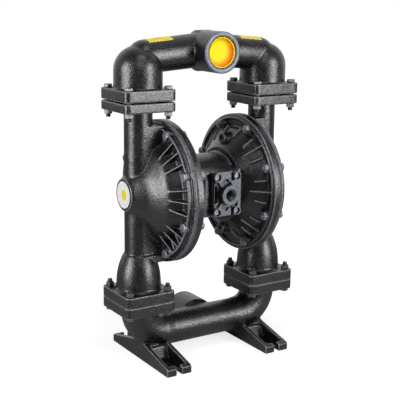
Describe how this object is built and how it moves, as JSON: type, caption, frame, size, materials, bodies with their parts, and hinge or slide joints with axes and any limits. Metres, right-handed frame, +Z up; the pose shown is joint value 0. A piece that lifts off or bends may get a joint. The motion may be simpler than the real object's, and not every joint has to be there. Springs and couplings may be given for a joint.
{
  "type": "air operated diaphragm pump",
  "caption": "Air operated double diaphragm pump: two ribbed chambers on columns, a centre air body, a top discharge pipe with a port, and a bottom suction pipe on slotted feet.",
  "frame": {"origin": "on the floor, under the middle of the pump", "axes": "+X along the diaphragm rod from the left chamber to the right one, -Y towards the discharge port and the air inlet cover, +Z up"},
  "size_m": [0.575, 0.406, 0.9415],
  "materials": {
    "black_casting": "satin black enamel on sand-cast aluminium",
    "bare_casting": "dark enamel with machined raised faces",
    "zinc_steel": "blackened steel",
    "rod_steel": "ground stainless steel",
    "plate_aluminium": "cast aluminium",
    "elastomer": "matt nitrile rubber",
    "seat_metal": "machined aluminium",
    "bronze": "machined bronze",
    "dark_plastic": "moulded plastic",
    "yellow_plastic": "moulded polyethylene",
    "white_label": "printed film",
    "yellow_label": "printed film"
  },
  "bodies": {
    "pump": {"left_outer_cap": "black_casting", "right_outer_cap": "black_casting", "left_inner_cap": "black_casting", "right_inner_cap": "black_casting", "centre_body": "black_casting", "discharge_manifold": "black_casting", "suction_manifold": "black_casting", "front_cover": "bare_casting", "discharge_flange_bolts": "zinc_steel", "discharge_flange_nuts": "zinc_steel", "suction_flange_bolts": "zinc_steel", "suction_flange_nuts": "zinc_steel", "left_rim_bolts": "zinc_steel", "right_rim_bolts": "zinc_steel", "left_rim_nuts": "zinc_steel", "right_rim_nuts": "zinc_steel", "cover_screws": "zinc_steel", "left_hub_screws": "zinc_steel", "right_hub_screws": "zinc_steel", "left_diaphragm": "elastomer", "right_diaphragm": "elastomer", "discharge_seat_rings": "elastomer", "suction_seat_rings": "elastomer", "left_rod_seal": "elastomer", "right_rod_seal": "elastomer", "cover_gasket": "elastomer", "left_hub_gasket": "elastomer", "right_hub_gasket": "elastomer", "left_suction_seat": "seat_metal", "right_suction_seat": "seat_metal", "left_discharge_seat": "seat_metal", "right_discharge_seat": "seat_metal", "valve_sleeve": "bronze", "left_rod_bushing": "bronze", "right_rod_bushing": "bronze", "exhaust_muffler": "dark_plastic", "left_sleeve_plug": "dark_plastic", "right_sleeve_plug": "dark_plastic", "left_dome_label": "white_label", "right_dome_label": "white_label", "left_pipe_label": "yellow_label", "right_pipe_label": "yellow_label"},
    "rod": {"diaphragm_rod": "rod_steel", "left_inner_plate": "plate_aluminium", "right_inner_plate": "plate_aluminium", "left_outer_plate": "plate_aluminium", "right_outer_plate": "plate_aluminium", "left_rod_bolt": "zinc_steel", "right_rod_bolt": "zinc_steel"},
    "valve_spool": {"valve_spool": "rod_steel"},
    "pilot_rod": {"pilot_rod": "zinc_steel"},
    "port_plug": {"port_plug": "yellow_plastic"},
    "left_suction_ball": {"left_suction_ball": "elastomer"},
    "right_suction_ball": {"right_suction_ball": "elastomer"},
    "left_discharge_ball": {"left_discharge_ball": "elastomer"},
    "right_discharge_ball": {"right_discharge_ball": "elastomer"}
  },
  "joints": [
    {"name": "rod_stroke", "type": "slide", "parent": "pump", "child": "rod", "axis": [1, 0, 0], "range_m": [-0.025, 0.025], "deforming": ["left_diaphragm", "right_diaphragm"]},
    {"name": "pilot_shift", "type": "slide", "parent": "pump", "child": "pilot_rod", "axis": [1, 0, 0], "range_m": [-0.005, 0.005]},
    {"name": "spool_shift", "type": "slide", "parent": "pump", "child": "valve_spool", "axis": [1, 0, 0], "range_m": [-0.007, 0.007]},
    {"name": "plug_pull", "type": "slide", "parent": "pump", "child": "port_plug", "axis": [0, -1, 0], "range_m": [0, 0.06]},
    {"name": "left_suction_ball_lift", "type": "slide", "parent": "pump", "child": "left_suction_ball", "axis": [0, 0, 1], "range_m": [0, 0.018]},
    {"name": "right_suction_ball_lift", "type": "slide", "parent": "pump", "child": "right_suction_ball", "axis": [0, 0, 1], "range_m": [0, 0.018]},
    {"name": "left_discharge_ball_lift", "type": "slide", "parent": "pump", "child": "left_discharge_ball", "axis": [0, 0, 1], "range_m": [0, 0.018]},
    {"name": "right_discharge_ball_lift", "type": "slide", "parent": "pump", "child": "right_discharge_ball", "axis": [0, 0, 1], "range_m": [0, 0.018]}
  ],
  "couplings": [
    {"joint": "pilot_shift", "follows": "rod_stroke", "ratio": 0.2}
  ]
}
